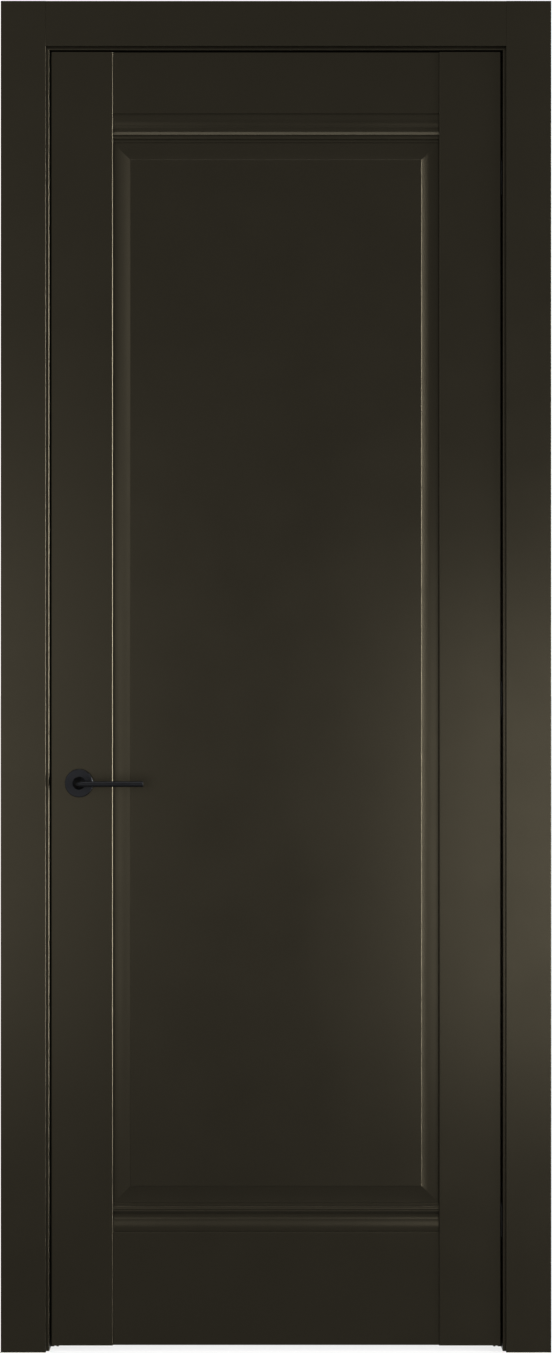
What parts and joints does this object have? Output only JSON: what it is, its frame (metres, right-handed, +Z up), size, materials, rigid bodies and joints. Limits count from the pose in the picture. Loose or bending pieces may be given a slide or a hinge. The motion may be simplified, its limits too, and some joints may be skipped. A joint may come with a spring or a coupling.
{
  "type": "interior door",
  "caption": "Interior door set: stile-and-rail leaf with a raised coved panel and moulded rails, concealed hinges, lever handle and latch, in a rebated frame with architraves.",
  "frame": {"origin": "on the floor, in the middle of the doorway, on the leaf's mid-plane", "axes": "+X across the doorway from the lock side to the hinge side, +Y from the front face to the back, +Z up"},
  "size_m": [0.977, 0.16, 2.3985],
  "materials": {
    "bronze_paint": "satin dark bronze paint with a slight metallic sheen",
    "black_metal": "matt black coating",
    "bright_steel": "zinc plated",
    "hinge_alloy": "matt black cast alloy",
    "seal_rubber": "matt extruded rubber",
    "beech": "plain turned wood",
    "black_plastic": "matt moulded plastic"
  },
  "bodies": {
    "frame": {"jamb_hinge_side": "bronze_paint", "jamb_lock_side": "bronze_paint", "jamb_head": "bronze_paint", "seal_hinge_side": "seal_rubber", "seal_lock_side": "seal_rubber", "seal_head": "seal_rubber", "architrave_front_left": "bronze_paint", "architrave_front_right": "bronze_paint", "architrave_front_head": "bronze_paint", "architrave_back_left": "bronze_paint", "architrave_back_right": "bronze_paint", "architrave_back_head": "bronze_paint", "hinge_frame_cup_1": "hinge_alloy", "hinge_frame_cup_2": "hinge_alloy", "hinge_frame_cup_3": "hinge_alloy", "hinge_frame_screws": "bright_steel", "strike_plate": "black_metal", "strike_box": "black_plastic", "strike_magnet": "bright_steel", "strike_screws": "black_metal"},
    "leaf": {"stile_lock_side": "bronze_paint", "stile_hinge_side": "bronze_paint", "rail_top": "bronze_paint", "rail_bottom": "bronze_paint", "panel": "bronze_paint", "dowels": "beech", "hinge_leaf_cup_1": "hinge_alloy", "hinge_leaf_cup_2": "hinge_alloy", "hinge_leaf_cup_3": "hinge_alloy", "hinge_leaf_screws": "bright_steel", "latch_case": "bright_steel", "latch_case_cover": "bright_steel", "latch_faceplate": "black_metal", "latch_screws": "black_metal", "rose_front": "black_metal", "rose_back": "black_metal", "rose_base_front": "bright_steel", "rose_base_back": "bright_steel", "rose_bolts": "bright_steel"},
    "hinge_links": {"hinge_link_1": "hinge_alloy", "hinge_link_2": "hinge_alloy", "hinge_link_3": "hinge_alloy"},
    "lever_set": {"lever_front": "black_metal", "lever_back": "black_metal", "spindle": "bright_steel", "latch_follower": "bright_steel", "grub_screws": "black_metal"},
    "latch_bolt": {"latch_bolt": "black_metal"}
  },
  "joints": [
    {"name": "leaf_swing", "type": "hinge", "parent": "frame", "child": "leaf", "pos_m": [0.4015, -0.02, 1.16], "axis": [0, 0, 1], "range_deg": [0, 110]},
    {"name": "link_turn", "type": "hinge", "parent": "frame", "child": "hinge_links", "pos_m": [0.4015, -0.02, 1.16], "axis": [0, 0, 1], "range_deg": [0, 55]},
    {"name": "lever_turn", "type": "hinge", "parent": "leaf", "child": "lever_set", "pos_m": [-0.35, 0, 1.01], "axis": [0, 1, 0], "range_deg": [0, 40], "stiffness_Nm_per_rad": 1.5, "springref_deg": -28.65},
    {"name": "latch_bolt_slide", "type": "slide", "parent": "leaf", "child": "latch_bolt", "axis": [-1, 0, 0], "range_m": [0, 0.009], "stiffness_N_per_m": 40, "springref_m": -0.004}
  ],
  "couplings": [
    {"joint": "link_turn", "follows": "leaf_swing", "ratio": 0.5}
  ]
}
